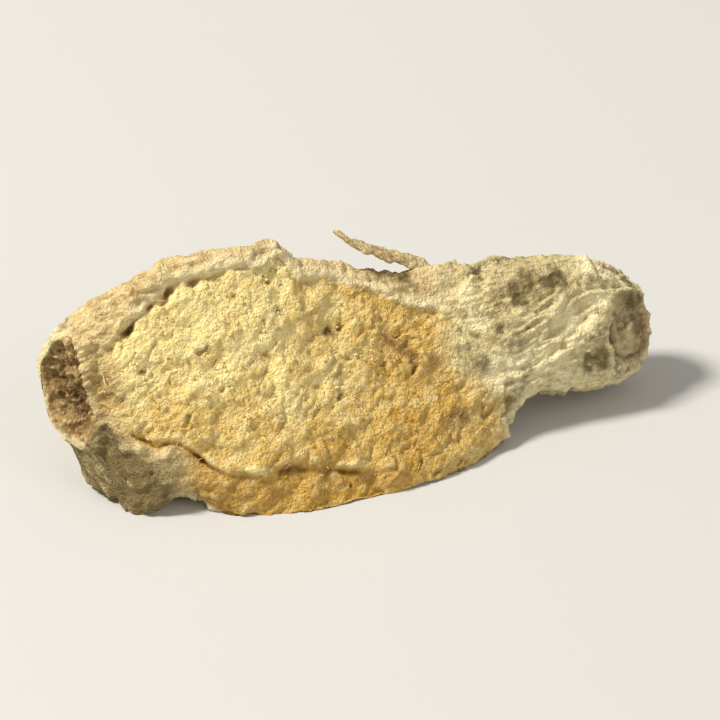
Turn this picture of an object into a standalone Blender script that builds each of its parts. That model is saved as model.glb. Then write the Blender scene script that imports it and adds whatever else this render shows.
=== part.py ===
"""One dried, chopped piece of ginger root, lying on a cut facet.

Metres, +Z up. The piece runs along X, from its thick broken end at -X to its bud tip at +X.
Its long cut face looks towards -Y and up. The skin is at the back, over the top and round the tip.
The origin is under the middle of the piece, on the surface that it lies on.
"""

import math

import bmesh
import bpy
import numpy as np
from mathutils import Matrix, Vector

MM = 0.001

# Driving dimensions of the finished piece
LENGTH = 16.2 * MM
DEPTH = 5.9 * MM
HEIGHT = 5.6 * MM

# Cross-sections of the whole root, before the knife trims the underside, in millimetres.
# The lower and upper edges are the two borders of the long cut face. A bulge is how far
# the surface swells from the straight line between the edges: in front it is the face
# or the front of the tip, and behind it is the rounded skin.
# Each row holds x, lower edge y and z, upper edge y and z, front bulge, back bulge.
SECTIONS = (
    (-7.7, 0.35, 1.75, 1.75, 4.75, 0.40, 1.35),
    (-7.4, -0.50, 0.75, 1.90, 5.10, 0.50, 1.70),
    (-6.8, -1.10, 0.35, 1.95, 5.35, 0.55, 2.20),
    (-5.7, -1.60, 0.25, 2.00, 5.65, 0.60, 2.90),
    (-4.4, -2.10, 0.25, 1.95, 5.90, 0.50, 3.10),
    (-3.1, -2.50, 0.20, 1.80, 5.95, 0.40, 3.20),
    (-1.4, -2.60, 0.25, 1.70, 5.40, 0.35, 3.10),
    (0.3, -2.45, 0.35, 1.60, 4.75, 0.40, 2.80),
    (1.7, -2.15, 0.45, 1.50, 4.40, 0.45, 2.30),
    (2.8, -1.60, 0.55, 1.40, 4.35, 0.65, 1.90),
    (3.7, -0.95, 1.00, 1.25, 4.30, 0.95, 1.60),
    (5.6, -0.75, 1.00, 1.00, 3.90, 1.10, 1.45),
    (6.9, -0.65, 1.15, 0.80, 3.45, 0.95, 1.20),
)
FACE_FLATNESS = 0.6  # below 1, the front swells quickly from its edges and is flat between them
STATIONS = 46  # rings along the root
RING_POINTS = 56  # points round each ring, half of them in front
BROKEN_END_SLANT = 0.5  # how far the broken end is set back for each millimetre further in front
BROKEN_END_REACH = 2.6  # how far along the root that slant dies away
BROKEN_END_EDGE = 0.25  # how far beyond the first section the broken end's rounded edge reaches
BROKEN_END_SHRINK = 0.25  # the share of the first section's size that this edge takes off
BROKEN_END_RINGS = 5
TIP_LENGTH = 0.9  # the tip's domed end beyond the last cross-section
TIP_RINGS = 7

UNDERSIDE_CUT = 0.45  # how far up the knife trims the underside
KNIFE_SIDE = 40.0
KNIFE_THICKNESS = 10.0

# Two shrunken pits, cut by egg-shaped solids that are turned about X by a tilt in degrees
HOLLOW_CENTRE = (-8.50, 1.35, 3.10)  # the pith in the broken end
HOLLOW_RADII = (1.05, 0.75, 1.15)
HOLLOW_TILT = -25
SCAR_CENTRE = (7.35, -0.95, 2.65)  # where a bud broke off the tip
SCAR_RADII = (0.55, 0.45, 0.80)
SCAR_TILT = -33

FLESH_COLOUR = (0.64, 0.48, 0.24)
FLESH_ROUGHNESS = 0.92
SHARP_ANGLE = math.radians(40)  # edges sharper than this stay crisp in the shading


def clear_scene():
    for obj in list(bpy.data.objects):
        bpy.data.objects.remove(obj, do_unlink=True)


def make_material(name, colour, roughness):
    """A matt, non-metallic Principled BSDF."""
    material = bpy.data.materials.new(name)
    material.use_nodes = True
    shader = material.node_tree.nodes["Principled BSDF"]
    shader.inputs["Base Color"].default_value = (*colour, 1.0)
    shader.inputs["Roughness"].default_value = roughness
    shader.inputs["Metallic"].default_value = 0.0
    return material


def section_values(x):
    """The six section values at x: a smooth cubic through the rows of SECTIONS."""
    table = np.array(SECTIONS)
    places, values = table[:, 0], table[:, 1:]
    slopes = np.gradient(values, places, axis=0)
    row = int(np.clip(np.searchsorted(places, x) - 1, 0, len(places) - 2))
    span = places[row + 1] - places[row]
    t = (x - places[row]) / span
    start = (1 + 2 * t) * (1 - t) ** 2 * values[row] + t * (1 - t) ** 2 * span * slopes[row]
    end = t * t * (3 - 2 * t) * values[row + 1] + t * t * (t - 1) * span * slopes[row + 1]
    return start + end


def ring_points(x, place, scale):
    """One closed ring at x, with the section read at place and shrunk about its middle by scale.

    Near the broken end, the ring slants: its front is set back from its rear.
    """
    low_y, low_z, top_y, top_z, front, back = section_values(place)
    low, top = Vector((low_y, low_z)), Vector((top_y, top_z))
    middle, half_chord = (low + top) / 2, (top - low) / 2
    outward = Vector((-half_chord.y, half_chord.x)).normalized()
    centre = middle + outward * (front - back) / 2
    fade = max(0.0, 1 - (place - SECTIONS[0][0]) / BROKEN_END_REACH)
    slant = BROKEN_END_SLANT * fade * fade
    points = []
    for number in range(RING_POINTS):
        angle = 2 * math.pi * number / RING_POINTS
        along, swell = -math.cos(angle), math.sin(angle)
        if swell >= 0:
            lift = front * swell**FACE_FLATNESS
        else:
            lift = back * swell
        point = middle + half_chord * along + outward * lift
        point = centre + (point - centre) * scale
        points.append(Vector((x + slant * (point - centre).dot(outward), point.x, point.y)))
    return points


def root_rings():
    """Rings from the broken end's rounded edge to the domed tip, in millimetres."""
    first, last = SECTIONS[0][0], SECTIONS[-1][0]
    rings = []
    for step in range(1, BROKEN_END_RINGS + 1):
        angle = math.pi / 2 * step / BROKEN_END_RINGS
        scale = 1 - BROKEN_END_SHRINK * (1 - math.sin(angle))
        x = first - BROKEN_END_EDGE * math.cos(angle)
        rings.append(ring_points(x, first, scale))
    for step in range(1, STATIONS):
        x = first + (last - first) * step / STATIONS
        rings.append(ring_points(x, x, 1.0))
    for step in range(TIP_RINGS):
        angle = math.pi / 2 * step / TIP_RINGS
        x = last + TIP_LENGTH * math.sin(angle)
        rings.append(ring_points(x, last, math.cos(angle)))
    return rings


def add_root(name, material):
    """The untrimmed root: rings joined by faces, closed by a fan at each end."""
    mesh = bpy.data.meshes.new(name)
    body = bmesh.new()
    rings = [[body.verts.new(point) for point in ring] for ring in root_rings()]
    for ring, following in zip(rings, rings[1:]):
        for number in range(RING_POINTS):
            beside = (number + 1) % RING_POINTS
            body.faces.new((ring[number], ring[beside], following[beside], following[number]))
    peaks = [sum((vert.co for vert in ring), Vector()) / len(ring) for ring in (rings[0], rings[-1])]
    peaks[1].x = SECTIONS[-1][0] + TIP_LENGTH
    for ring, peak in zip((rings[0], rings[-1]), peaks):
        middle = body.verts.new(peak)
        for number in range(RING_POINTS):
            body.faces.new((ring[number], ring[(number + 1) % RING_POINTS], middle))
    bmesh.ops.recalc_face_normals(body, faces=body.faces)
    bmesh.ops.triangulate(body, faces=body.faces)
    body.to_mesh(mesh)
    body.free()
    root = bpy.data.objects.new(name, mesh)
    bpy.context.scene.collection.objects.link(root)
    mesh.materials.append(material)
    mesh.shade_smooth()
    mesh.set_sharp_from_angle(angle=SHARP_ANGLE)
    return root


def add_cutter(name, body):
    """A hidden guide solid made from a bmesh, for a Boolean to cut with."""
    mesh = bpy.data.meshes.new(name)
    body.to_mesh(mesh)
    body.free()
    cutter = bpy.data.objects.new(name, mesh)
    bpy.context.scene.collection.objects.link(cutter)
    cutter.hide_render = True
    cutter.display_type = "WIRE"
    return cutter


def add_knife():
    """A slab whose top is the plane of the cut underside."""
    body = bmesh.new()
    bmesh.ops.create_cube(body, size=1.0)
    bmesh.ops.scale(body, vec=(KNIFE_SIDE, KNIFE_SIDE, KNIFE_THICKNESS), verts=body.verts)
    bmesh.ops.translate(body, vec=(0, 0, UNDERSIDE_CUT - KNIFE_THICKNESS / 2), verts=body.verts)
    return add_cutter("knife_under", body)


def add_pit(name, centre, radii, tilt):
    """An egg-shaped cutter for a shrunken hollow."""
    turn = Matrix.Rotation(math.radians(tilt), 3, "X")
    body = bmesh.new()
    bmesh.ops.create_icosphere(body, subdivisions=3, radius=1.0)
    bmesh.ops.scale(body, vec=radii, verts=body.verts)
    bmesh.ops.rotate(body, cent=(0, 0, 0), matrix=turn, verts=body.verts)
    bmesh.ops.translate(body, vec=centre, verts=body.verts)
    return add_cutter(name, body)


def cut(target, cutter):
    boolean = target.modifiers.new(cutter.name, "BOOLEAN")
    boolean.operation = "DIFFERENCE"
    boolean.object = cutter


def settle(root, cutters):
    """Scales the finished shape to the driving dimensions and rests it over the origin."""
    bpy.context.view_layer.update()
    shaped = root.evaluated_get(bpy.context.evaluated_depsgraph_get())
    corners = np.array([vert.co for vert in shaped.data.vertices])
    low, high = corners.min(axis=0), corners.max(axis=0)
    size = Vector((LENGTH, DEPTH, HEIGHT))
    factors = [size[axis] / (high[axis] - low[axis]) for axis in range(3)]
    middle = (low + high) / 2
    to_origin = Matrix.Translation((-middle[0], -middle[1], -low[2]))
    place = Matrix.Diagonal((*factors, 1.0)) @ to_origin
    for obj in (root, *cutters):
        obj.data.transform(place)


def main():
    clear_scene()
    flesh = make_material("dried_ginger", FLESH_COLOUR, FLESH_ROUGHNESS)
    root = add_root("ginger_root_piece", flesh)
    cutters = [
        add_knife(),
        add_pit("broken_end_hollow", HOLLOW_CENTRE, HOLLOW_RADII, HOLLOW_TILT),
        add_pit("tip_scar", SCAR_CENTRE, SCAR_RADII, SCAR_TILT),
    ]
    for cutter in cutters:
        cut(root, cutter)
    settle(root, cutters)


main()
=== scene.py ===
import math

import bmesh
import bpy
import numpy as np
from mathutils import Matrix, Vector


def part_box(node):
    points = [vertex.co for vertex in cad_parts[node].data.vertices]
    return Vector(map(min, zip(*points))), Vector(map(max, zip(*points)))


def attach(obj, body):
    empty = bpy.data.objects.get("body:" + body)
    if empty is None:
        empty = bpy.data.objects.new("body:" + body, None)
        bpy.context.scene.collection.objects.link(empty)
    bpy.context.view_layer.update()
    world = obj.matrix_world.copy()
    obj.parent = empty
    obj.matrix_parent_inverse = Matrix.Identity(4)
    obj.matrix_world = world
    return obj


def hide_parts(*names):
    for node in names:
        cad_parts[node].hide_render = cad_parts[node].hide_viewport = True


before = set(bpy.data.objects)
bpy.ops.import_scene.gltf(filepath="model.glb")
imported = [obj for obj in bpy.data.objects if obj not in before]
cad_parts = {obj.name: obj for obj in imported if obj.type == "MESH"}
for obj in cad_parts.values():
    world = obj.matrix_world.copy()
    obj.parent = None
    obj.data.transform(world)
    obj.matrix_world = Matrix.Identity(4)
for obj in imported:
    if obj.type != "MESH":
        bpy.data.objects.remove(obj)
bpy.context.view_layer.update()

mm = 0.001


def smoothStep(value, start, end):
    # 0 before start, 1 after end, and 3t^2 - 2t^3 between them
    t = np.clip((value - start) / (end - start), 0, 1)
    return t * t * (3 - 2 * t)


def bell(value, centre, width):
    # exp(-d^2), where d is the distance from the centre in widths
    return np.exp(-(((value - centre) / width) ** 2))


def gradientNoise(points, cell, seed):
    # Each corner of a lattice holds a random slope. A point takes the slopes of the 8 corners round it,
    # each times the way from its corner, blended by the fifth-power curve 6t^5 - 15t^4 + 10t^3.
    period = 64
    slopes = np.random.default_rng(seed).normal(size=(period, period, period, 3)).astype(np.float32)
    scaled = np.asarray(points, dtype=np.float64) / cell
    base = np.floor(scaled).astype(np.int64)
    part = scaled - base
    blend = part**3 * (part * (part * 6 - 15) + 10)
    total = np.zeros(part.shape[:-1])
    for corner in np.ndindex(2, 2, 2):
        offset = np.array(corner)
        index = (base + offset) % period
        slope = slopes[index[..., 0], index[..., 1], index[..., 2]]
        weight = np.prod(np.where(offset == 1, blend, 1 - blend), axis=-1)
        total += weight * np.sum(slope * (part - offset), axis=-1)
    return total


def layeredNoise(points, cell, seed, layers=3, gain=0.5):
    # gradient noise added up at half the cell and gain times the strength for each further layer
    total = 0
    for layer in range(layers):
        total = total + gain**layer * gradientNoise(points, np.asarray(cell) / 2**layer, seed + layer)
    return total


def cellNoise(points, cell, seed):
    # One random centre in each lattice cell. Gives the distance to the nearest centre and how much
    # further the next one is, both in cells, and a random number from 0 to 1 for the nearest centre.
    period = 64
    jitter = np.random.default_rng(seed).random((period, period, period, 4))
    scaled = np.asarray(points, dtype=np.float64) / cell
    base = np.floor(scaled).astype(np.int64)
    nearest = np.full(scaled.shape[:-1], 9.0)
    second = nearest.copy()
    label = np.zeros_like(nearest)
    for step in np.ndindex(3, 3, 3):
        near = base + np.array(step) - 1
        index = near % period
        random = jitter[index[..., 0], index[..., 1], index[..., 2]]
        distance = np.linalg.norm(near + random[..., :3] - scaled, axis=-1)
        closer = distance < nearest
        second = np.where(closer, nearest, np.minimum(second, distance))
        label = np.where(closer, random[..., 3], label)
        nearest = np.where(closer, distance, nearest)
    return nearest, second - nearest, label


def unit(vectors):
    # each vector divided by its length
    return vectors / np.maximum(np.linalg.norm(vectors, axis=-1, keepdims=True), 1e-12)


root = {
    # Each row, in mm: x, lower edge y and z, upper edge y and z, bulge of the front, bulge of the back.
    # The edges are the borders of the long cut face, before the knife trims the underside.
    "sections": (
        (-7.7, 0.35, 1.75, 1.75, 4.75, 0.40, 1.35),
        (-7.4, -0.50, 0.75, 1.90, 5.10, 0.50, 1.70),
        (-6.8, -1.10, 0.35, 1.95, 5.35, 0.55, 2.20),
        (-5.7, -1.60, 0.25, 2.00, 5.65, 0.60, 2.90),
        (-4.4, -2.10, 0.25, 1.95, 5.90, 0.50, 3.10),
        (-3.1, -2.50, 0.20, 1.80, 5.95, 0.40, 3.20),
        (-1.4, -2.60, 0.25, 1.70, 5.40, 0.35, 3.10),
        (0.3, -2.45, 0.35, 1.60, 4.75, 0.40, 2.80),
        (1.7, -2.15, 0.45, 1.50, 4.40, 0.45, 2.30),
        (2.8, -1.60, 0.55, 1.40, 4.35, 0.65, 1.90),
        (3.7, -0.95, 1.00, 1.25, 4.30, 0.95, 1.60),
        (5.6, -0.75, 1.00, 1.00, 3.90, 1.10, 1.45),
        (6.9, -0.65, 1.15, 0.80, 3.45, 0.95, 1.20),
    ),
    "faceFlatness": 0.6,  # below 1, the front swells quickly from its edges and is flat between them
    "endSlant": 0.5,  # how far the broken end is set back for each mm further in front
    "endReach": 2.6,  # how far along the root that slant dies away
    "endEdge": 0.25,  # how far the broken end's rounded edge reaches beyond the first row
    "hollowDepth": 0.42,
    "hollowShare": 0.87,  # the hollow's size as a share of the broken end's
    "tipLength": 0.9,  # how far the domed tip reaches beyond the last row
    "notchDepth": 0.20,  # a long notch in the upper edge
    "crestPlace": -2.15,  # a low crest to its left
    "crestHeight": 0.24,
    "archPlace": -5.9,  # an arch in the lower edge, under the left end
    "archHeight": 0.75,
    "edgeWaver": 0.07,
    "underCut": 0.45,  # the height at which the knife trims the underside
    "underSoftness": 0.03,  # how softly the trimmed part meets the rest
    "hollowRings": 34,
    "edgeRings": 16,
    "bodyRings": 322,
    "tipRings": 30,
    "frontPoints": 136,
    "backPoints": 110,
    # Places on the front are given as x in mm and a share of the face's half height: -1 is the lower
    # edge and 1 the upper. Three lines bound the flesh, and the second and third of them give x at each
    # share. The fold is a crease in the flesh.
    "fleshTop": ((-7.5, 0.54), (-6.4, 0.63), (-5.7, 0.70), (-5.1, 0.78), (-4.5, 0.82), (-1.4, 0.84),
                 (-0.3, 0.82), (0.5, 0.75), (1.2, 0.64), (1.9, 0.52), (2.3, 0.42)),
    "fleshLeft": ((-1.0, -6.4), (-0.8, -6.8), (-0.55, -7.2), (-0.35, -7.9), (1.0, -8.0)),
    "fleshRight": ((-1.0, 2.8), (-0.7, 3.1), (-0.36, 2.5), (-0.07, 2.0), (0.25, 2.0), (0.5, 2.4)),
    "fold": ((-7.3, -0.30), (-6.7, -0.42), (-6.2, -0.49), (-5.2, -0.64), (-3.9, -0.67), (-3.1, -0.59),
             (-1.9, -0.67), (-0.6, -0.76)),
    # pits between the rind and the flesh: x, length and depth in mm
    "groovePits": ((-6.6, 0.26, 0.36), (-5.75, 0.14, 0.20), (-5.15, 0.30, 0.30), (-4.45, 0.22, 0.20)),
    # spots: x, share of the half height, radius in mm
    "stains": (
        (0.6, 0.25, 0.24), (0.9, 0.15, 0.20), (0.6, 0.0, 0.18), (1.4, 0.07, 0.22), (-1.4, 0.07, 0.14),
        (-1.2, 0.38, 0.16), (0.4, 0.32, 0.2), (1.6, -0.55, 0.3),
    ),
    # brown spots on the skin; its last five rows are painted shade: low on the left end and under the peel
    "darkSkinAndShade": (
        (4.5, 0.65, 0.42), (3.8, 0.47, 0.40), (3.3, 0.1, 0.24), (3.6, -0.2, 0.26), (2.6, -0.15, 0.20),
        (5.4, -0.64, 0.30), (5.1, 0.65, 0.30), (6.1, -0.2, 0.24), (3.0, -0.75, 0.35), (6.9, 0.33, 0.26),
        (5.85, -0.58, 0.28), (-7.5, -0.85, 0.50), (-7.1, -0.8, 0.45), (-6.9, -0.95, 0.40), (0.5, 1.0, 0.30),
        (1.3, 0.95, 0.32),
    ),
    "paleSkin": (
        (5.5, 0.05, 0.50), (4.9, 0.05, 0.35), (6.2, 0.30, 0.35), (3.75, 0.12, 0.26), (2.9, -0.27, 0.42),
        (4.2, -0.5, 0.50), (2.6, 0.6, 0.4), (3.4, -0.5, 0.45), (5.0, -0.45, 0.42), (2.7, 0.2, 0.30),
    ),
    "scarPlace": (6.85, -0.22),
    # rings round the skin where old leaves sat: x and height in mm
    "ringScars": ((-5.2, 0.06), (-2.4, 0.09), (0.4, 0.06), (2.9, 0.08), (4.9, 0.05), (6.1, 0.05)),
    # how strong each kind of roughness is, in mm
    "unevenness": 0.15,
    "endTear": 0.13,
    "fleshLumps": 0.12,
    "fleshCrumbs": 0.075,
    "fleshCracks": 0.032,
    "fineCrumbs": 0.048,
    "fleshStrings": 0.035,
    "fleshPits": 0.15,
    "foldLip": 0.07,
    "foldCrease": 0.17,
    "foldLayer": 0.13,
    "rindGroove": 0.06,
    "rindLip": 0.07,
    "rindStrings": 0.055,
    "rindFlakes": 0.11,
    "rindGrain": 0.060,
    "wideWrinkles": 0.20,
    "fineWrinkles": 0.11,
    "skinGrain": 0.045,
    "scarDepth": 0.16,
    "pithStrings": 0.08,
    "pithLumps": 0.12,
    "pithSponge": 0.06,
    # the corners of the plain shape, without its roughness: they are laid on the corners of the model's box
    "plainLow": (-8.30, -2.64, 0.45),
    "plainHigh": (7.80, 3.23, 6.02),
    "pressedDepth": 0.16,  # how deep the relief is pressed together at the sides of that box
}


def edgeWaver(x, seed):
    # the cut edges waver by a few hundredths of a mm: noise along x alone
    line = np.stack([x, np.full_like(x, 0.37), np.full_like(x, 0.71)], axis=-1)
    return root["edgeWaver"] * layeredNoise(line, 0.9, seed)


def sectionValues(place):
    # a smooth cubic through the rows: Hermite's curve with the slopes of the neighbouring rows
    table = np.array(root["sections"])
    places, values = table[:, 0], table[:, 1:]
    slopes = np.gradient(values, places, axis=0)
    row = np.clip(np.searchsorted(places, place) - 1, 0, len(places) - 2)
    span = (places[row + 1] - places[row])[:, None]
    t = (place - places[row])[:, None] / span
    start = (1 + 2 * t) * (1 - t) ** 2 * values[row] + t * (1 - t) ** 2 * span * slopes[row]
    end = t * t * (3 - 2 * t) * values[row + 1] + t * t * (t - 1) * span * slopes[row + 1]
    return start + end


def sectionRings(place, x, scale, angles):
    # Angle 0 is the lower edge and pi the upper one. Between them the ring swells in front by
    # front * sin^flatness, and past pi it swells behind by back * sin. Then it shrinks about its middle
    # by scale, and near the broken end a point moves along x by slant * its distance in front. The notch
    # is a smooth step down and one up again, and the crest and the arch are bells.
    values = sectionValues(place)
    low, top, front, back = values[:, 0:2], values[:, 2:4], values[:, 4:5], values[:, 5:6]
    chord = unit(top - low)
    notch = -root["notchDepth"] * smoothStep(place, -1.95, -1.6) * (1 - smoothStep(place, 0.9, 2.3))
    crest = root["crestHeight"] * bell(place, root["crestPlace"], 0.26)
    top = top + chord * (notch + crest + edgeWaver(place, 11))[:, None]
    arch = root["archHeight"] * bell(place, root["archPlace"], 0.85)
    low = low + chord * (arch + edgeWaver(place, 12))[:, None]
    middle, half = (low + top) / 2, (top - low) / 2
    outward = unit(np.stack([-half[:, 1], half[:, 0]], axis=-1))
    centre = middle + outward * (front - back) / 2
    along, swell = -np.cos(angles), np.sin(angles)
    rise = np.abs(swell) ** root["faceFlatness"]
    lift = np.where(swell >= 0, front * rise, back * swell)
    points = middle[:, None] + half[:, None] * along[None, :, None] + outward[:, None] * lift[..., None]
    offset = (points - centre[:, None]) * scale[:, None, None]
    fade = np.clip(1 - (place - root["sections"][0][0]) / root["endReach"], 0, 1)
    forward = np.sum(offset * outward[:, None], axis=-1)
    slanted = x[:, None] + root["endSlant"] * (fade**2)[:, None] * forward
    points = centre[:, None] + offset
    return np.concatenate([slanted[..., None], points], axis=-1), np.linalg.norm(half, axis=-1)


def evenAngles():
    # angles whose points lie evenly spaced along the middle section, in front and behind
    fine = np.linspace(0, 2 * np.pi, 2001)
    here = np.array([-1.4])
    ring = sectionRings(here, here, np.ones(1), fine)[0][0]
    length = np.concatenate([[0], np.cumsum(np.linalg.norm(np.diff(ring, axis=0), axis=-1))])
    upper = length[1000]
    front = np.interp(np.linspace(0, upper, root["frontPoints"], endpoint=False), length, fine)
    behind = np.interp(np.linspace(upper, length[-1], root["backPoints"], endpoint=False), length, fine)
    return np.concatenate([front, behind])


def ringPlan():
    # Rings from the hollow's bottom, over the broken end's edge, along the body and round the tip.
    # The hollow is a bowl: depth * (1 - share^1.8). The edge is a quarter circle, and so is the tip.
    first, last = root["sections"][0][0], root["sections"][-1][0]
    share = (np.arange(1, root["hollowRings"] + 1) / root["hollowRings"]) ** 0.8
    hollowX = first - root["endEdge"] + root["hollowDepth"] * (1 - share**1.8)
    hollowScale = share * root["hollowShare"]
    hollow = np.stack([np.full_like(share, first), hollowX, hollowScale, 1 - share], axis=-1)
    turn = np.arange(1, root["edgeRings"] + 1) / root["edgeRings"]
    edgeScale = root["hollowShare"] + (1 - root["hollowShare"]) * np.sin(turn * np.pi / 2)
    edgeX = first - root["endEdge"] * np.cos(turn * np.pi / 2)
    edge = np.stack([np.full_like(turn, first), edgeX, edgeScale, -turn], axis=-1)
    x = np.linspace(first, last, root["bodyRings"] + 1)[1:]
    body = np.stack([x, x, np.ones_like(x), np.full_like(x, -1)], axis=-1)
    turn = np.arange(1, root["tipRings"]) / root["tipRings"] * np.pi / 2
    tipX = last + root["tipLength"] * np.sin(turn)
    tip = np.stack([np.full_like(turn, last), tipX, np.cos(turn), np.full_like(turn, -1)], axis=-1)
    return np.concatenate([hollow, edge, body, tip]).T


def gridNormals(points):
    # the cross product of the steps round the ring and along the root
    around = np.roll(points, -1, axis=1) - np.roll(points, 1, axis=1)
    along = np.gradient(points, axis=0)
    return unit(np.cross(along, around))


def blurred(values, reach):
    # the mean over a window of 2 * reach + 1 grid points each way, round the ring and along the root
    padded = np.pad(values, ((reach, reach), (0, 0)), mode="edge")
    padded = np.pad(padded, ((0, 0), (reach, reach)), mode="wrap")
    for axis in (0, 1):
        total = np.cumsum(padded, axis=axis)
        zero = np.zeros_like(np.take(total, [0], axis=axis))
        total = np.concatenate([zero, total], axis=axis)
        width = 2 * reach + 1
        later = np.take(total, np.arange(width, total.shape[axis]), axis=axis)
        earlier = np.take(total, np.arange(0, total.shape[axis] - width), axis=axis)
        padded = (later - earlier) / width
    return padded


def outlineAt(name, value):
    # straight between the named line's points
    points = np.array(root[name])
    return np.interp(value, points[:, 0], points[:, 1])


def spotsAt(name, area, points, seed):
    # ragged spots: the sum of bells round the named places, times noise
    total = 0
    for spotX, share, radius in root[name]:
        away = np.hypot(area["x"] - spotX, (area["across"] - share) * area["half"])
        total = total + bell(away, 0, radius)
    return np.clip(total * (0.9 + 1.1 * layeredNoise(points, 0.32, seed, 2)), 0, 1) * area["inFront"]


def rootRegions(x, depthShare, angles, halfChord, points):
    # Soft masks from 0 to 1: the cut flesh, the pale rind beside it, the hollow, and skin for the rest.
    # Each is a product of smooth steps over the distances from the lines of the root's table. Two of these
    # are kept, in mm: overTop, beyond the flesh's upper line, and below, under the fold.
    shape = points.shape[:2]
    area = {"across": np.broadcast_to(-np.cos(angles), shape),
            "inFront": np.broadcast_to(np.sin(angles) >= 0, shape),
            "backTurn": np.broadcast_to(angles - np.pi, shape),
            "x": np.broadcast_to(x[:, None], shape),
            "half": np.broadcast_to(halfChord[:, None], shape),
            "depth": np.broadcast_to(np.clip(depthShare, 0, 1)[:, None], shape)}
    across, inFront, x = area["across"], area["inFront"], area["x"]
    ragged = 0.09 * layeredNoise(points, 0.75, 21) + 0.05 * gradientNoise(points, 0.22, 24)
    area["ragged"] = ragged
    area["overTop"] = (across - outlineAt("fleshTop", x)) * area["half"] + ragged
    area["below"] = (outlineAt("fold", x) - across) * area["half"] + 0.10 * gradientNoise(points, 0.8, 22)
    area["foot"] = smoothStep(area["below"], 0.05, 0.20) * (1 - smoothStep(x, -6.3, -5.3)) * inFront
    pastLeft = outlineAt("fleshLeft", across) - x + ragged
    pastRight = x - outlineAt("fleshRight", across) + 3.0 * ragged
    flesh = (1 - smoothStep(area["overTop"], -0.06, 0.06)) * (1 - smoothStep(pastLeft, -0.08, 0.12))
    flesh = flesh * (1 - smoothStep(pastRight, -0.65, 0.40)) * inFront
    area["flesh"] = flesh * (1 - area["foot"])
    onTop = smoothStep(area["overTop"], -0.02, 0.12) * inFront
    onTop = onTop + (~inFront) * (1 - smoothStep(area["backTurn"], 0.05, 0.45))
    rind = onTop * (1 - smoothStep(x, 1.4, 2.8))
    behind = 1 - smoothStep(np.sin(angles), -0.3, 0.3)
    area["endRim"] = ((depthShare <= 0) & (depthShare > -1))[:, None] * behind
    area["rind"] = np.clip(rind + 0.8 * area["foot"] + 0.8 * area["endRim"], 0, 1) * (1 - area["flesh"])
    area["hollow"] = smoothStep(area["depth"], 0.0, 0.12)
    return area


def fleshShades(area, points):
    # How golden the cut flesh is: more to the right, under the fold, and low on the left, where it is
    # partly painted shade; less on the fold's lip. And how brown: the stain spots, the side next to the
    # hollow, and painted shade along its lower edge.
    across, x = area["across"], area["x"]
    layer = smoothStep(area["below"], -0.05, 0.15) * (1 - smoothStep(x, -0.8, 0.6))
    lowest = smoothStep(-across, 0.0, 0.9)
    lip = bell(area["below"], -0.14, 0.13) * (1 - smoothStep(x, -4.6, -3.2))
    lip = lip * smoothStep(gradientNoise(points, 0.45, 46), -0.35, 0.35)
    right = 0.82 * smoothStep(x, -2.6, 0.6) * (1 - 0.5 * smoothStep(x, 1.0, 2.4)) * (1 - 0.35 * lowest)
    # gold low on the left, partly the flesh's own tone and partly painted shade on its lower part
    lowLeftGoldAndShade = 0.62 * smoothStep(-across, -0.1, 0.6) * (1 - smoothStep(x, -1.5, 1.0))
    gold = np.clip(right + lowLeftGoldAndShade + 0.50 * layer - 0.5 * lip, 0, 1)
    left = 1 - smoothStep(x, -5.0, -3.5)
    browned = 0.75 * (1 - smoothStep(x + 0.5 * area["ragged"], -7.55, -7.0))
    browned = browned * bell(across, 0.12, 0.5) * area["inFront"]
    # painted shade: browner towards the lower edge, more so under the fold on the left
    stain = spotsAt("stains", area, points, 23) + (0.12 + 0.25 * left * layer) * lowest**2 + browned
    return {"gold": gold, "stain": np.clip(stain, 0, 1)}


def skinShades(area, points):
    # Where the skin and the rind are darkened: brown spots, a few of them painted shade, painted shade low
    # on
    # the left end and behind the notch, and patches on the foot, partly painted shade. And where they are
    # pale:
    # the spots, a band over the flesh and the end's rim.
    x = area["x"]
    # painted shade: the skin low on the left end is darkened
    paintedShadeLowEnd = smoothStep(-x, 6.5, 7.4) * (1 - smoothStep(points[..., 2], 1.2, 2.2))
    # painted shade behind the notch, in the gap under the curled peel; the same mask raises the skin there
    behindNotch = (~area["inFront"]) * bell(area["backTurn"], 0.45, 0.32) * bell(x, 0.8, 0.85)
    # brown patches on the foot, partly its own mottling and partly painted shade
    mottledAndShaded = smoothStep(area["below"] + 0.3 * gradientNoise(points, 0.5, 26), 0.25, 0.55)
    mottledAndShaded = 0.60 * area["foot"] * mottledAndShaded * (1 - smoothStep(x, -6.5, -5.5))
    dark = spotsAt("darkSkinAndShade", area, points, 25) + paintedShadeLowEnd + behindNotch + mottledAndShaded
    band = bell(area["overTop"], 0.16, 0.20) * smoothStep(x, -6.8, -6.0)
    band = band * (1 - smoothStep(x, 1.9, 2.5)) * area["inFront"]
    pale = spotsAt("paleSkin", area, points, 27) + 0.7 * band + 0.6 * area["endRim"]
    return {"behindNotch": behindNotch, "dark": np.clip(dark, 0, 1), "pale": np.clip(pale, 0, 1)}


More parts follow.
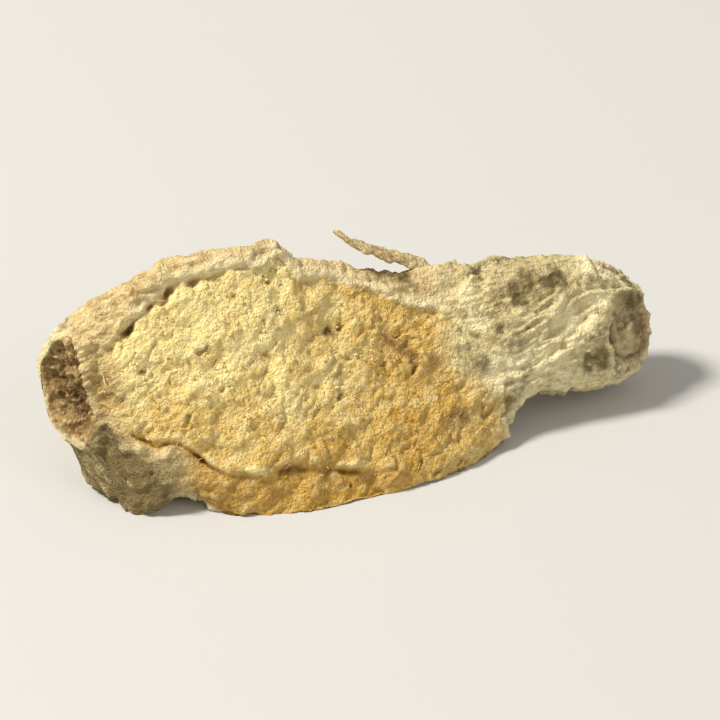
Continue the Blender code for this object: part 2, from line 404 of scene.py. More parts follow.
def fleshRelief(points):
    # Dried flesh crumbles: each cell of a bent lattice stands at its own height, with a crack round it.
    # Lumps, finer crumbs and slanting strings lie over that, with torn pits where the noise is high.
    x, y, z = np.moveaxis(points, -1, 0)
    turned = np.stack([x * 0.8 + z * 0.6, z * 0.8 - x * 0.6, y], axis=-1)
    bend = np.stack([gradientNoise(points, 0.5, seed) for seed in (28, 29, 30)], axis=-1)
    bent = turned + 0.10 * bend
    lumps = root["fleshLumps"] * layeredNoise(points, 0.85, 31, 2)
    gap, label = cellNoise(bent, np.array([0.50, 0.36, 0.40]), 37)[1:]
    crumbs = root["fleshCrumbs"] * (label - 0.5) * smoothStep(gap, 0.0, 0.30)
    crumbs = crumbs - root["fleshCracks"] * (1 - smoothStep(gap, 0.0, 0.14))
    gap, label = cellNoise(bent, np.array([0.20, 0.16, 0.16]), 39)[1:]
    fine = root["fineCrumbs"] * (label - 0.5) * smoothStep(gap, 0.0, 0.30)
    strings = root["fleshStrings"] * gradientNoise(turned, np.array([0.95, 0.15, 0.26]), 35)
    torn = smoothStep(layeredNoise(bent, np.array([0.60, 0.26, 0.36]), 41, 3), 0.70, 1.30)
    return lumps + crumbs + fine + strings - root["fleshPits"] * torn


def foldRelief(area, points):
    # a crease in the flesh with a soft lip above it and a lower layer under it, deep only here and there
    deep = 0.35 + 0.9 * smoothStep(gradientNoise(points, 0.85, 45), -0.25, 0.35)
    present = smoothStep(area["x"], -7.4, -6.9) * (1 - smoothStep(area["x"], -1.6, -0.3)) * area["flesh"]
    torn = 0.4 + 0.9 * smoothStep(gradientNoise(points, 0.45, 46), -0.35, 0.35)
    lip = root["foldLip"] * torn * bell(area["below"] + 0.06 * gradientNoise(points, 0.3, 44), -0.15, 0.15)
    crease = -root["foldCrease"] * bell(area["below"], 0.05, 0.08)
    layer = -root["foldLayer"] * smoothStep(area["below"], 0.0, 0.16)
    return present * (deep * (lip + crease) + layer)


def rindRelief(area, points):
    # The rind stands proud of the shrunken flesh, above a groove that opens into pits.
    line = area["overTop"] + 0.10 * layeredNoise(points, 0.4, 42, 2)
    pits = 0
    for place, length, depth in root["groovePits"]:
        pits = pits - depth * bell(area["x"], place, length) * bell(line, 0.0, 0.16)
    weak = 0.35 + 0.65 * smoothStep(gradientNoise(points, 0.8, 43), -0.2, 0.4)
    groove = -root["rindGroove"] * weak * bell(line, -0.02, 0.11) * (1 - smoothStep(area["x"], -4.6, -2.6))
    lip = root["rindLip"] * smoothStep(line, -0.02, 0.14) * (1 - smoothStep(line, 0.4, 0.9))
    front = area["inFront"] * (1 - smoothStep(area["x"], 1.4, 2.4)) * (1 - area["hollow"])
    strings = root["rindStrings"] * layeredNoise(points, np.array([1.1, 0.20, 0.20]), 47, 2)
    gap, label = cellNoise(points, np.array([0.70, 0.36, 0.36]), 48)[1:]
    flakes = root["rindFlakes"] * (label - 0.5) * smoothStep(gap, 0.0, 0.16)
    grain = root["rindGrain"] * layeredNoise(points, 0.30, 49, 2, 0.6)
    return front * (pits + groove + lip) + area["rind"] * (strings + flakes + grain)


def skinRelief(points):
    # Drying wrinkles run lengthwise: ridged noise, 1 - |n|, stretched along x. Ring scars cross them.
    wander = 0.5 * gradientNoise(points, 2.2, 51)
    stretched = points + np.stack([np.zeros_like(wander), wander, wander], axis=-1)
    wide = np.abs(layeredNoise(stretched, np.array([3.0, 0.85, 0.85]), 53, 2))
    fine = np.abs(layeredNoise(stretched, np.array([1.0, 0.26, 0.26]), 55, 2))
    wrinkles = root["wideWrinkles"] * (0.35 - wide) + root["fineWrinkles"] * (0.3 - fine)
    sway = 0.35 * gradientNoise(points, 1.6, 57)
    rings = 0
    for place, height in root["ringScars"]:
        away = points[..., 0] + sway - place
        rings = rings + height * (bell(away, 0.0, 0.10) - 0.8 * bell(away, 0.17, 0.09))
    broken = smoothStep(gradientNoise(points, 1.1, 59), -0.25, 0.15)
    grain = root["skinGrain"] * layeredNoise(points, 0.24, 61, 2, 0.6)
    return wrinkles + rings * broken + grain


def scarRelief(points, centre):
    # Where a bud broke off: sunk inside the first ring, with a ridge round it and a fainter one within.
    away = np.linalg.norm((points - centre) / np.array([0.66, 0.88, 0.88]), axis=-1)
    away = away + 0.13 * layeredNoise(points, 0.42, 63, 3)
    sunk = -root["scarDepth"] * (1 - smoothStep(away, 0.55, 1.15))
    broken = smoothStep(gradientNoise(points, 0.7, 65), -0.35, 0.15)
    inner = 0.06 * bell(away, 0.62, 0.12) - 0.08 * bell(away, 0.92, 0.10)
    height = sunk + 0.05 * bell(away, 1.20, 0.16) + broken * inner + 0.10 * bell(away, 0.0, 0.30)
    shade = 0.45 + 0.55 * broken * bell(away, 0.90, 0.16)
    return height, (1 - smoothStep(away, 0.85, 1.20)) * shade


def hollowRelief(points):
    # torn, stringy pith: noise stretched along x and coarse lumps
    strings = root["pithStrings"] * layeredNoise(points, np.array([0.9, 0.26, 0.26]), 71, 3, 0.6)
    lumps = root["pithLumps"] * gradientNoise(points, 0.6, 73)
    spongy = root["pithSponge"] * layeredNoise(points, 0.22, 75, 2, 0.6)
    return strings + lumps + spongy


def shapeRoot():
    # The plain shape moves outwards along its normals by the relief of each region, times its mask. Then
    # the knife trims the underside: the height over it, h, becomes (h + sqrt(h^2 + softness^2)) / 2.
    angles = evenAngles()
    place, x, scale, depthShare = ringPlan()
    points, halfChord = sectionRings(place, x, scale, angles)
    normals = gridNormals(points)
    area = rootRegions(np.minimum(place, x), depthShare, angles, halfChord, points)
    area.update(fleshShades(area, points))
    area.update(skinShades(area, points))
    skin = np.clip(1 - area["flesh"] - area["rind"] - area["hollow"], 0, 1)
    uneven = root["unevenness"] * layeredNoise(points, 2.6, 81, 2) * (0.35 + 0.65 * skin)
    height = uneven + area["flesh"] * fleshRelief(points) + foldRelief(area, points)
    height = height + rindRelief(area, points) + skin * skinRelief(points)
    scarX, scarAcross = root["scarPlace"]
    centre = points[np.abs(x - scarX).argmin(), np.abs(angles - np.arccos(-scarAcross)).argmin()]
    scar, area["scar"] = scarRelief(points, centre)
    height = height * (1 - 0.5 * area["scar"]) + scar + 0.26 * area["behindNotch"]
    height = height * (1 - area["hollow"]) + area["hollow"] * hollowRelief(points)
    shaped = points + normals * height[..., None]
    # the broken end isn't flat: every point moves along x by noise that depends on y and z alone
    torn = 1 - smoothStep(np.minimum(place, x), -7.7, -6.7)
    shaped[..., 0] += root["endTear"] * torn[:, None] * layeredNoise(points * np.array([0, 1, 1]), 0.75, 85)
    flat = root["underCut"] + 0.05 * smoothStep(layeredNoise(points, 1.1, 83), -0.4, 0.6)
    above = shaped[..., 2] - flat
    shaped[..., 2] = flat + 0.5 * (above + np.sqrt(above**2 + root["underSoftness"] ** 2))
    under = 1 - smoothStep(above, -0.05, 0.02)
    area["flesh"] = np.maximum(area["flesh"], under)
    area["relief"] = (height - blurred(height, 4)) * (1 - under)
    area["basin"] = (height - blurred(height, 12)) * (1 - under)
    return shaped, area


def pressedInside(points):
    # The part d beyond the last margin before a side becomes margin * (1 - exp(-d / margin)), so it never
    # crosses that side. The flat underside is left alone.
    low, high, margin = [np.array(root[key]) for key in ("plainLow", "plainHigh", "pressedDepth")]
    over = np.clip(points - (high - margin), 0, None)
    pressed = points - over + margin * (1 - np.exp(-over / margin))
    over = np.clip(low + margin - points, 0, None) * np.array([1, 1, 0])
    return pressed + over - margin * (1 - np.exp(-over / margin))


print("shaping the root")
rawPoints, rootArea = shapeRoot()
rawPoints = pressedInside(rawPoints)
boxLow, boxHigh = [np.array(corner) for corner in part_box("ginger_root_piece")]
rawLow, rawHigh = rawPoints.reshape(-1, 3).min(axis=0), rawPoints.reshape(-1, 3).max(axis=0)
# from the shape's mm to the model's metres: the shape's box is laid on the model's box
rootPoints = (rawPoints - rawLow) / (rawHigh - rawLow) * (boxHigh - boxLow) + boxLow
rootNormals = gridNormals(rootPoints)


def addMesh(name, vertices, faces, material, attributes):
    # every piece stays inside the model's box, rides on the root and reads its masks from its points
    mesh = bpy.data.meshes.new(name)
    mesh.from_pydata(np.clip(vertices, boxLow, boxHigh), [], faces)
    for key, values in attributes.items():
        layer = mesh.attributes.new(key, "FLOAT", "POINT")
        layer.data.foreach_set("value", np.asarray(values, dtype=np.float32).ravel())
    mesh.shade_smooth()
    mesh.materials.append(material)
    piece = bpy.data.objects.new(name, mesh)
    bpy.context.scene.collection.objects.link(piece)
    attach(piece, "root")
    return piece


def closedGrid(points):
    # A surface of rings, closed by a point in the middle of each end: its vertices, and its faces
    # pointing outwards where the rings turn from the lower edge over the front.
    rings, count = points.shape[:2]
    vertices = np.concatenate([points.reshape(-1, 3), [points[0].mean(axis=0), points[-1].mean(axis=0)]])
    ring, number = np.meshgrid(np.arange(rings - 1), np.arange(count), indexing="ij")
    here, beside = ring * count + number, ring * count + (number + 1) % count
    quads = np.stack([here, here + count, beside + count, beside], axis=-1).reshape(-1, 4)
    number = np.arange(count)
    beside = (number + 1) % count
    lastRing = (rings - 1) * count
    first = np.stack([np.full(count, rings * count), number, beside], axis=-1)
    last = np.stack([np.full(count, rings * count + 1), lastRing + beside, lastRing + number], axis=-1)
    return vertices, quads.tolist() + first.tolist() + last.tolist()


def gridValues(values):
    # a grid's values as a list, with the mean of the end rings for the two closing points
    return np.concatenate([values.reshape(-1), [values[0].mean(), values[-1].mean()]])


finish = {
    "fleshPale": (0.97, 0.78, 0.32),
    "fleshGold": (0.64, 0.365, 0.062),
    # fleshBrown: the flesh's stains and specks, and painted shade in the dips of the relief
    "fleshBrown": (0.31, 0.17, 0.05),
    "starch": (0.97, 0.83, 0.43),
    "rindCream": (0.75, 0.56, 0.27),
    "rindTan": (0.50, 0.32, 0.13),
    "skinGrey": (0.68, 0.55, 0.27),
    "skinPale": (0.97, 0.84, 0.50),
    # skinBrown: the skin's own brown, also used for painted shade on the skin
    "skinBrown": (0.17, 0.12, 0.045),
    "scarBrown": (0.27, 0.165, 0.085),
    "hollowTan": (0.37, 0.235, 0.09),
    # hollowDark: painted shade deep in the hollow, and the pith's specks
    "hollowDark": (0.13, 0.070, 0.024),
}


def addNode(tree, kind, inputs=None, **settings):
    # a node with its settings; each input takes a value, or a link if it is given another node's output
    node = tree.nodes.new(kind)
    for key, value in settings.items():
        setattr(node, key, value)
    for key, value in (inputs or {}).items():
        if isinstance(value, bpy.types.NodeSocket):
            tree.links.new(value, node.inputs[key])
        else:
            node.inputs[key].default_value = value
    return node


def mixColour(tree, share, first, second, blend="MIX"):
    # first at share 0 and second at share 1
    node = addNode(tree, "ShaderNodeMix", data_type="RGBA", blend_type=blend)
    for socket, value in ((node.inputs[0], share), (node.inputs[6], first), (node.inputs[7], second)):
        if isinstance(value, bpy.types.NodeSocket):
            tree.links.new(value, socket)
        elif isinstance(value, tuple):
            socket.default_value = (*value, 1.0)
        else:
            socket.default_value = value
    return node.outputs[2]


def calculate(tree, operation, first, second=0.0, third=0.0, clamp=False):
    # one math node
    return addNode(tree, "ShaderNodeMath", {0: first, 1: second, 2: third}, operation=operation,
                   use_clamp=clamp).outputs[0]


def remap(tree, value, low, high, newLow=0.0, newHigh=1.0):
    # smoothly from newLow at low to newHigh at high
    inputs = {"Value": value, "From Min": low, "From Max": high, "To Min": newLow, "To Max": newHigh}
    return addNode(tree, "ShaderNodeMapRange", inputs, interpolation_type="SMOOTHSTEP").outputs[0]


def objectPlace(tree, stretch=(1.0, 1.0, 1.0), turn=(0.0, 0.0, 0.0)):
    # object coordinates in mm, stretched and turned for a pattern that runs one way
    coordinates = addNode(tree, "ShaderNodeTexCoord").outputs["Object"]
    inputs = {"Vector": coordinates, "Scale": tuple(1 / (mm * s) for s in stretch), "Rotation": turn}
    return addNode(tree, "ShaderNodeMapping", inputs).outputs[0]


def noiseAt(tree, place, size, detail=2.0, roughness=0.5):
    # noise whose patches are about that many mm across
    inputs = {"Vector": place, "Scale": 1 / size, "Detail": detail, "Roughness": roughness}
    return addNode(tree, "ShaderNodeTexNoise", inputs).outputs["Fac"]


def newGroup(name, inputs, outputs):
    # an empty node group with its sockets
    tree = bpy.data.node_groups.new(name, "ShaderNodeTree")
    for label, kind, value in inputs:
        socket = tree.interface.new_socket(label, in_out="INPUT", socket_type=kind)
        socket.default_value = value
    for label, kind in outputs:
        tree.interface.new_socket(label, in_out="OUTPUT", socket_type=kind)
    return tree, tree.nodes.new("NodeGroupInput").outputs, tree.nodes.new("NodeGroupOutput").inputs


def makeMealyGrain():
    # Starchy grains: pale grains and brown specks over a colour, and their height.
    grey = (0.5, 0.5, 0.5, 1.0)
    tree, given, out = newGroup(
        "mealyGrain",
        (("Colour", "NodeSocketColor", grey), ("Pale", "NodeSocketColor", grey),
         ("Brown", "NodeSocketColor", grey), ("Grain", "NodeSocketFloat", 0.12),
         ("Paleness", "NodeSocketFloat", 0.5), ("Specks", "NodeSocketFloat", 0.5)),
        (("Colour", "NodeSocketColor"), ("Height", "NodeSocketFloat")))
    place = objectPlace(tree)
    scale = calculate(tree, "DIVIDE", 1.0, given["Grain"])
    inputs = {"Vector": place, "Scale": scale, "Detail": 3.0, "Roughness": 0.65}
    fine = addNode(tree, "ShaderNodeTexNoise", inputs)
    cells = addNode(tree, "ShaderNodeTexVoronoi", {"Vector": place, "Scale": scale, "Randomness": 1.0})
    grainShade = addNode(tree, "ShaderNodeSeparateColor", {"Color": cells.outputs["Color"]}).outputs[0]
    pale = remap(tree, fine.outputs["Fac"], 0.50, 0.68)
    pale = calculate(tree, "ADD", pale, remap(tree, grainShade, 0.75, 1.0))
    pale = calculate(tree, "MULTIPLY", pale, given["Paleness"], clamp=True)
    colour = mixColour(tree, pale, given["Colour"], given["Pale"])
    darker = mixColour(tree, 0.30, given["Colour"], given["Brown"])
    colour = mixColour(tree, remap(tree, grainShade, 0.22, 0.0), colour, darker)
    coarse = noiseAt(tree, place, 0.20, 3.0, 0.65)
    speck = calculate(tree, "MULTIPLY", remap(tree, coarse, 0.41, 0.30), given["Specks"])
    tree.links.new(mixColour(tree, speck, colour, given["Brown"]), out["Colour"])
    dome = remap(tree, cells.outputs["Distance"], 0.75, 0.0)
    height = calculate(tree, "ADD", calculate(tree, "MULTIPLY", dome, 0.5), fine.outputs["Fac"])
    tree.links.new(height, out["Height"])
    return tree


def makeFibreGrain():
    # Fine strings that run one way: noise stretched along the given direction, as a mask and a height.
    tree, given, out = newGroup(
        "fibreGrain",
        (("Vector", "NodeSocketVector", (0, 0, 0)), ("Fineness", "NodeSocketFloat", 1.0)),
        (("Mask", "NodeSocketFloat"), ("Height", "NodeSocketFloat")))
    inputs = {"Vector": given["Vector"], "Scale": given["Fineness"], "Detail": 3.0, "Roughness": 0.55}
    strings = addNode(tree, "ShaderNodeTexNoise", inputs).outputs["Fac"]
    tree.links.new(remap(tree, strings, 0.50, 0.66), out["Mask"])
    tree.links.new(strings, out["Height"])
    return tree


mealyGrain = makeMealyGrain()
fibreGrain = makeFibreGrain()


def attribute(tree, name):
    # a mask stored on the points of a piece
    return addNode(tree, "ShaderNodeAttribute", attribute_name=name).outputs["Fac"]


def useGroup(tree, group, inputs):
    # a group's node; each input takes a link, a colour or a number
    node = addNode(tree, "ShaderNodeGroup", node_tree=group)
    for key, value in inputs.items():
        if isinstance(value, bpy.types.NodeSocket):
            tree.links.new(value, node.inputs[key])
        elif isinstance(value, tuple) and len(value) == 3:
            node.inputs[key].default_value = (*value, 1.0)
        else:
            node.inputs[key].default_value = value
    return node.outputs


def fleshLook(tree, patches, blotches):
    # Pale flesh ripens to gold by its mask, in patches and in blotches; that mask holds some painted shade.
    # Starchy streaks and grains lie on it, then the stains and painted shade, then starchy strings. Gives
    # its colour and the height of its grains and strings.
    golden = remap(tree, patches, 0.45, 0.65, 0.0, 0.4)
    golden = calculate(tree, "ADD", golden, attribute(tree, "gold"), clamp=True)
    starchy = calculate(tree, "MULTIPLY_ADD", golden, -0.55, 1.0)  # riper flesh shows less starch
    flesh = mixColour(tree, golden, finish["fleshPale"], finish["fleshGold"])
    slant = objectPlace(tree, (0.34, 0.09, 0.11), (0.0, 0.65, 0.0))
    streaks = useGroup(tree, fibreGrain, {"Vector": slant, "Fineness": 0.42})
    riper = calculate(tree, "MULTIPLY_ADD", attribute(tree, "gold"), 0.5, 0.35)
    riper = calculate(tree, "MULTIPLY", remap(tree, blotches, 0.47, 0.64), riper)
    flesh = mixColour(tree, riper, flesh, finish["fleshGold"])
    shown = calculate(tree, "MULTIPLY", streaks["Mask"], calculate(tree, "MULTIPLY", starchy, 0.55))
    flesh = mixColour(tree, shown, flesh, finish["starch"])
    grain = useGroup(tree, mealyGrain, {
        "Colour": flesh, "Pale": finish["starch"], "Brown": finish["fleshBrown"], "Grain": 0.085,
        "Paleness": calculate(tree, "MULTIPLY", starchy, 0.50), "Specks": 0.22})
    flesh = mixColour(tree, attribute(tree, "stain"), grain["Colour"], finish["fleshBrown"])
    strings = useGroup(tree, fibreGrain, {"Vector": slant, "Fineness": 1.0})
    shown = calculate(tree, "MULTIPLY", strings["Mask"], calculate(tree, "MULTIPLY", starchy, 0.40))
    flesh = mixColour(tree, shown, flesh, finish["starch"])
    height = calculate(tree, "ADD", grain["Height"], calculate(tree, "MULTIPLY", strings["Height"], 0.4))
    return flesh, height


def rindLook(tree, blotches):
    # cream rind with tan blotches and coarse grains
    rind = mixColour(tree, remap(tree, blotches, 0.45, 0.7), finish["rindCream"], finish["rindTan"])
    return useGroup(tree, mealyGrain, {
        "Colour": rind, "Pale": finish["starch"], "Brown": finish["rindTan"], "Grain": 0.13,
        "Paleness": 0.5, "Specks": 0.5})["Colour"]


def skinLook(tree, patches, blotches):
    # grey skin with pale patches, brown mottles and grains
    skin = mixColour(tree, remap(tree, patches, 0.40, 0.64), finish["skinGrey"], finish["skinPale"])
    mottle = calculate(tree, "MULTIPLY", remap(tree, blotches, 0.49, 0.36), 0.75)
    skin = mixColour(tree, mottle, skin, finish["skinBrown"])
    return useGroup(tree, mealyGrain, {
        "Colour": skin, "Pale": finish["skinPale"], "Brown": finish["skinBrown"], "Grain": 0.12,
        "Paleness": 0.6, "Specks": 0.45})["Colour"]


def pithLook(tree, blotches):
    # torn pith in the hollow, with painted shade darker the deeper it lies, tan blotches and grains
    pith = mixColour(tree, remap(tree, attribute(tree, "depth"), 0.05, 0.75), finish["hollowTan"],
                     finish["hollowDark"])
    pith = mixColour(tree, remap(tree, blotches, 0.48, 0.66, 0.0, 0.5), pith, finish["rindTan"])
    return useGroup(tree, mealyGrain, {
        "Colour": pith, "Pale": finish["rindCream"], "Brown": finish["hollowDark"], "Grain": 0.10,
        "Paleness": 0.35, "Specks": 0.8})["Colour"]


def driedGinger():
    # Skin, rind, flesh and pith are blended by their masks, with brown lines along the skin and the rind.
    # Painted shade in the hollows of the relief and paler raised ridges lie over all of them.
    material = bpy.data.materials.new("driedGinger")
    material.use_nodes = True
    tree = material.node_tree
    shader = tree.nodes["Principled BSDF"]
    place = objectPlace(tree)
    patches = noiseAt(tree, place, 2.2, 3.0)
    blotches = noiseAt(tree, place, 0.7, 3.0, 0.6)
    flesh, height = fleshLook(tree, patches, blotches)
    lines = useGroup(tree, fibreGrain, {"Vector": objectPlace(tree, (0.9, 0.12, 0.12)), "Fineness": 1.0})

    colour = mixColour(tree, attribute(tree, "rind"), skinLook(tree, patches, blotches),
                       rindLook(tree, blotches))
    # the last mask brings brown spots and painted shade on the skin
    for mask, strength, name in ((lines["Mask"], 0.30, "skinBrown"),
                                 (attribute(tree, "scar"), 0.88, "scarBrown"),
                                 (attribute(tree, "pale"), 0.88, "skinPale"),
                                 (attribute(tree, "dark"), 0.90, "skinBrown")):
        colour = mixColour(tree, calculate(tree, "MULTIPLY", mask, strength), colour, finish[name])
    colour = mixColour(tree, attribute(tree, "flesh"), colour, flesh)
    colour = mixColour(tree, attribute(tree, "hollow"), colour, pithLook(tree, blotches))
    # painted shade: the dips of the relief and its wider basins are multiplied by the flesh's brown
    low = calculate(tree, "ADD", remap(tree, attribute(tree, "relief"), -0.015, -0.11, 0.0, 0.34),
                    remap(tree, attribute(tree, "basin"), -0.06, -0.26, 0.0, 0.40), clamp=True)
    colour = mixColour(tree, low, colour, finish["fleshBrown"], "MULTIPLY")
    high = remap(tree, attribute(tree, "relief"), 0.015, 0.08, 0.0, 0.35)
    colour = mixColour(tree, high, colour, finish["starch"])
    tree.links.new(colour, shader.inputs["Base Color"])

    powder = noiseAt(tree, place, 0.055, 3.0, 0.7)
    height = calculate(tree, "ADD", height, calculate(tree, "MULTIPLY", powder, 0.8))
    bump = addNode(tree, "ShaderNodeBump", {"Height": height, "Distance": 0.06 * mm, "Strength": 1.0})
    tree.links.new(bump.outputs[0], shader.inputs["Normal"])
    tree.links.new(remap(tree, patches, 0.3, 0.7, 0.88, 0.98), shader.inputs["Roughness"])
    shader.inputs["Specular IOR Level"].default_value = 0.18
    return material


print("making the cut root")
gingerSurface = driedGinger()
masks = ("flesh", "rind", "hollow", "depth", "relief", "basin", "gold", "stain", "dark", "pale", "scar")
rootMasks = {key: gridValues(rootArea[key]) for key in masks}
cutRoot = addMesh("cut_root", *closedGrid(rootPoints), gingerSurface, rootMasks)
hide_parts("ginger_root_piece")


peel = {
    # a strip of rind that has curled up over the notch in the upper edge
    "from": 2.35,  # where along the root it still holds on, in mm
    "to": -0.30,  # where its free end is
    "lift": 0.80,  # how far it rises towards its free end
    "hook": 0.14,  # how much further the free end turns up
    "width": 0.66,
    "thickness": 0.20,
    "cup": 0.45,  # its sides bend down by this times the square of the way from its middle
    "tilt": 12,  # of its width, in degrees, where it holds on
    "rings": 90,
    "points": 56,
}


def addPeel():
    # The path follows the upper edge, raised by lift * (1 - (1 - t)^1.8), with a hook at its free end.
    # Across it, the strip is a cupped ellipse, width by thickness, and both are narrowed towards its
    # ends by the root of 1 - (2t - 1)^8.
    t = np.linspace(0, 1, peel["rings"])
    x = peel["from"] + (peel["to"] - peel["from"]) * t
    edge = rawPoints[:, root["frontPoints"]]
    edge = edge[root["hollowRings"] + root["edgeRings"] : -root["tipRings"]]
    line = np.stack([np.interp(x, edge[:, 0], edge[:, axis]) for axis in (1, 2)], axis=-1)
    line = np.stack([np.poly1d(np.polyfit(t, line[:, axis], 3))(t) for axis in (0, 1)], axis=-1)
    wave = layeredNoise(np.stack([x, 0 * x + 5.3, 0 * x], axis=-1), 0.7, 91, 2)
    hook = peel["hook"] * smoothStep(t, 0.82, 1.0)
    rise = -0.10 + peel["lift"] * (1 - (1 - t) ** 1.8) + 0.06 * wave + hook
    path = np.stack([x, line[:, 0] + 0.30 - 0.12 * t, line[:, 1] + rise - 0.02], axis=-1)
    angle = np.linspace(0, 2 * np.pi, peel["points"], endpoint=False)
    share = np.sqrt(np.clip(1 - np.abs(2 * t - 1) ** 8, 0.02, 1))
    ragged = 1 + 0.35 * layeredNoise(np.stack([x, 0 * x, 0 * x + 2.1], axis=-1), 0.5, 93, 2)
    width = (peel["width"] / 2 * share * ragged)[:, None] * np.cos(angle)
    thick = (peel["thickness"] / 2 * share)[:, None] * np.sin(angle)
    tilt = math.radians(peel["tilt"]) - 0.4 * t
    across = np.stack([0 * t, np.cos(tilt), np.sin(tilt)], axis=-1)
    normal = np.stack([0 * t, -np.sin(tilt), np.cos(tilt)], axis=-1)
    cup = -peel["cup"] * width**2
    points = path[:, None] + width[..., None] * across[:, None] + (thick + cup)[..., None] * normal[:, None]
    rough = 0.04 * layeredNoise(points, np.array([0.5, 0.2, 0.2]), 95, 3)
    points = points + rough[..., None] * gridNormals(points)
    placed = (points - rawLow) / (rawHigh - rawLow) * (boxHigh - boxLow) + boxLow
    vertices, faces = closedGrid(placed)
    inner = np.broadcast_to(np.sin(angle) < 0, rough.shape)
    peelMasks = {"rind": gridValues(np.where(inner, 1.0, 0.75)),
                 "relief": gridValues(rough - blurred(rough, 3))}
    addMesh("curled_peel", vertices, faces, gingerSurface, peelMasks)


starchCrumbs = {
    "count": 300,
    "smallest": 0.025,  # half of a crumb's size, in mm
    "largest": 0.060,
    "seed": 101,
}


def placesOn(weight, count, random):
    # random grid points of the root, the more likely the greater the weight there
    share = np.clip(weight, 0, None).ravel()
    chosen = random.choice(share.size, size=count, replace=False, p=share / share.sum())
    return np.unravel_index(chosen, weight.shape)


def addCrumbs():
    # starchy crumbs that cling to the cut flesh: uneven round lumps, half sunk in it
    random = np.random.default_rng(starchCrumbs["seed"])
    count = starchCrumbs["count"]
    ball = bmesh.new()
    bmesh.ops.create_icosphere(ball, subdivisions=2, radius=1.0)
    shape = np.array([vert.co for vert in ball.verts])
    corners = np.array([[vert.index for vert in face.verts] for face in ball.faces])
    ball.free()
    weight = rootArea["flesh"] * rootArea["inFront"] * smoothStep(rawPoints[..., 2], 0.5, 0.8)
    weight = weight * (0.15 + smoothStep(gradientNoise(rawPoints, 1.2, 103), -0.1, 0.5))
    weight = weight * (1 - rootArea["hollow"]) * (1 - smoothStep(rootArea["stain"], 0.0, 0.2))
    where = placesOn(weight, count, random)
    smallest, largest = starchCrumbs["smallest"] * mm, starchCrumbs["largest"] * mm
    size = smallest + (largest - smallest) * random.random(count) ** 2.5
    stretch = random.uniform(0.6, 1.4, (count, 1, 3))
    lumps = shape * stretch * size[:, None, None] * random.uniform(0.6, 1.2, (count, len(shape), 1))
    centre = rootPoints[where] + rootNormals[where] * (size * 0.1)[:, None]
    vertices = (centre[:, None] + lumps).reshape(-1, 3)
    faces = (corners + (np.arange(count) * len(shape))[:, None, None]).reshape(-1, 3)
    gold = np.repeat(np.clip(rootArea["gold"][where] + random.uniform(-0.3, 0.2, count), 0, 1), len(shape))
    addMesh("starch_crumbs", vertices, faces.tolist(), gingerSurface,
            {"flesh": np.ones(len(vertices)), "gold": gold})


brokenStrings = {
    "count": 46,
    "shortest": 0.16,  # in mm, as the others are
    "longest": 0.60,
    "thickest": 0.050,
    "rings": 9,
    "points": 6,
    "seed": 111,
}


def fibreMaterial():
    # the rind's two colours in fine lengthwise streaks
    material = bpy.data.materials.new("rootFibre")
    material.use_nodes = True
    tree = material.node_tree
    shader = tree.nodes["Principled BSDF"]
    stretched = objectPlace(tree, (0.3, 0.05, 0.05))
    lengthwise = useGroup(tree, fibreGrain, {"Vector": stretched, "Fineness": 1.0})
    colour = mixColour(tree, lengthwise["Mask"], finish["rindCream"], finish["rindTan"])
    tree.links.new(colour, shader.inputs["Base Color"])
    bump = addNode(tree, "ShaderNodeBump", {"Height": lengthwise["Height"], "Distance": 0.01 * mm})
    tree.links.new(bump.outputs[0], shader.inputs["Normal"])
    tree.links.new(remap(tree, lengthwise["Height"], 0.3, 0.7, 0.65, 0.85), shader.inputs["Roughness"])
    return material


def addStrings():
    # Broken ends of the root's strings stand out of the flesh and of its upper edge. Each follows
    # start + way * s + bend * s^2, with s from a little below the surface to its length, and tapers.
    random = np.random.default_rng(brokenStrings["seed"])
    count, rings = brokenStrings["count"], brokenStrings["rings"]
    edge = bell(rootArea["overTop"], 0.0, 0.12) * rootArea["inFront"] * (rootArea["x"] < 2)
    weight = 0.4 * rootArea["flesh"] * rootArea["inFront"] * (1 - rootArea["hollow"]) + edge
    where = placesOn(weight * smoothStep(rawPoints[..., 2], 0.7, 1.0), count, random)
    shortest, longest = brokenStrings["shortest"], brokenStrings["longest"]
    length = shortest + (longest - shortest) * random.random(count) ** 2
    way = unit(0.45 * rootNormals[where] + np.array([0.75, 0.0, 0.45]) * random.choice([-1, 1], (count, 1))
               + 0.5 * random.normal(size=(count, 3)))
    bend = unit(np.cross(way, random.normal(size=(count, 3)))) * random.uniform(0.1, 0.6, (count, 1))
    s = np.linspace(-0.15, 1, rings) * (length * mm)[:, None]
    paths = rootPoints[where][:, None] + way[:, None] * s[..., None]
    paths = paths + bend[:, None] * (s**2)[..., None] / mm
    sideways = unit(np.cross(way, bend))
    angle = np.linspace(0, 2 * np.pi, brokenStrings["points"], endpoint=False)
    radius = brokenStrings["thickest"] * mm / 2 * random.uniform(0.5, 1, (count, 1))
    radius = radius * np.linspace(1.1, 0.45, rings)
    spokes = sideways[:, None] * np.cos(angle)[:, None] + unit(bend)[:, None] * np.sin(angle)[:, None]
    tubes = paths[:, :, None] + radius[..., None, None] * spokes[:, None]
    vertices, faces = [], []
    for tube in tubes:
        points, corners = closedGrid(tube)
        faces += [[corner + len(vertices) * len(points) for corner in face] for face in corners]
        vertices.append(points)
    addMesh("broken_strings", np.concatenate(vertices), faces, fibreMaterial(), {})


print("adding the curled peel, the crumbs and the broken strings")
addPeel()
addCrumbs()
addStrings()


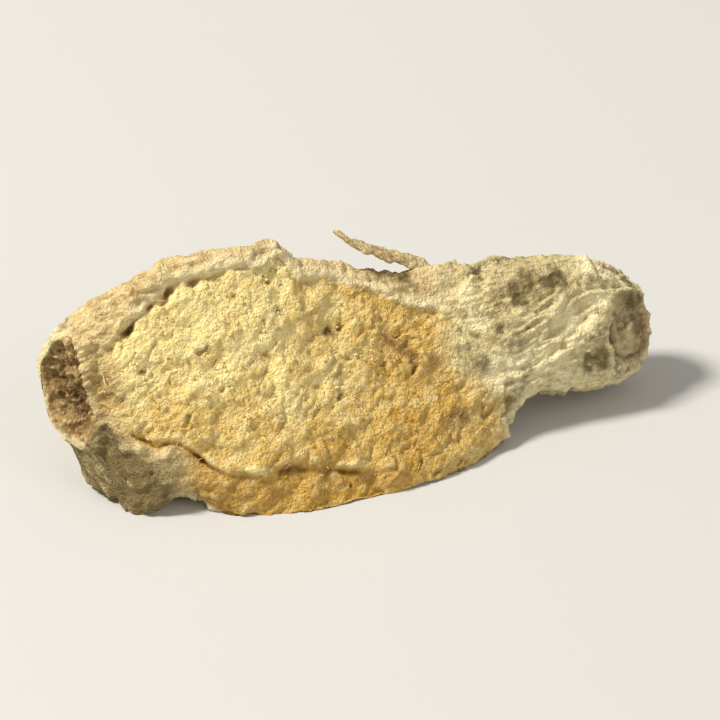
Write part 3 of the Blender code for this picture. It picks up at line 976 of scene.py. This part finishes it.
stage = {
    "floorColour": (0.58, 0.57, 0.55),
    "floorRoughness": 0.9,
    "floorSize": 0.6,
    "azimuth": -25.0,  # the camera's, in degrees
    "elevation": 30.0,
    "frameWidth": 18.6 * mm,
    "lens": 300.0,
    "aim": (0.0, 0.0, 2.3 * mm),
    # Each light: its place right, up and back of the object as the camera sees it and its size, all in
    # metres, then its power in watts and its colour.
    "lights": {
        "keyLight": (-0.17, 0.19, 0.14, 0.07, 1.02, (1.0, 0.97, 0.90)),
        "fillLight": (0.20, 0.06, 0.22, 0.20, 0.13, (1.0, 0.98, 0.95)),
    },
    "skyColour": (1.0, 0.98, 0.94),
    "skyStrength": 0.42,
}


def addFloor():
    # a plain square in the plane z = 0
    material = bpy.data.materials.new("paleFloor")
    material.use_nodes = True
    shader = material.node_tree.nodes["Principled BSDF"]
    shader.inputs["Base Color"].default_value = (*stage["floorColour"], 1.0)
    shader.inputs["Roughness"].default_value = stage["floorRoughness"]
    half = stage["floorSize"] / 2
    mesh = bpy.data.meshes.new("floor")
    corners = [(-half, -half, 0), (half, -half, 0), (half, half, 0), (-half, half, 0)]
    mesh.from_pydata(corners, [], [(0, 1, 2, 3)])
    mesh.materials.append(material)
    floor = bpy.data.objects.new("floor", mesh)
    bpy.context.scene.collection.objects.link(floor)


def viewAxes():
    # right, up and back as seen by the camera, from its azimuth and elevation
    a, e = math.radians(stage["azimuth"]), math.radians(stage["elevation"])
    back = Vector((math.sin(a) * math.cos(e), -math.cos(a) * math.cos(e), math.sin(e)))
    right = Vector((math.cos(a), math.sin(a), 0))
    return right, back.cross(right), back


def addLight(name, right, up, back, size, power, colour):
    # an area light at that many metres right, up and back of the object as the camera sees it
    axes = viewAxes()
    place = axes[0] * right + axes[1] * up + axes[2] * back
    data = bpy.data.lights.new(name, "AREA")
    data.shape, data.size, data.energy, data.color = "DISK", size, power, colour
    light = bpy.data.objects.new(name, data)
    light.location = place
    light.rotation_mode = "QUATERNION"
    light.rotation_quaternion = place.to_track_quat("Z", "Y")
    bpy.context.scene.collection.objects.link(light)


def addSky():
    # an even pale light from all round
    world = bpy.data.worlds.new("softWorld")
    bpy.context.scene.world = world
    world.use_nodes = True
    background = world.node_tree.nodes["Background"]
    background.inputs["Color"].default_value = (*stage["skyColour"], 1.0)
    background.inputs["Strength"].default_value = stage["skyStrength"]


def addCamera():
    # it stands back by frameWidth * lens / sensor width, so that the frame is frameWidth wide at its aim
    data = bpy.data.cameras.new("camera")
    data.lens = stage["lens"]
    data.clip_start, data.clip_end = 0.005, 5.0
    distance = stage["frameWidth"] * data.lens / data.sensor_width
    back = viewAxes()[2]
    camera = bpy.data.objects.new("camera", data)
    camera.location = Vector(stage["aim"]) + back * distance
    camera.rotation_mode = "QUATERNION"
    camera.rotation_quaternion = back.to_track_quat("Z", "Y")
    bpy.context.scene.collection.objects.link(camera)
    bpy.context.scene.camera = camera


print("setting the stage")
addFloor()
for lightName, lightValues in stage["lights"].items():
    addLight(lightName, *lightValues)
addSky()
bpy.context.scene.view_settings.view_transform = "Standard"
addCamera()
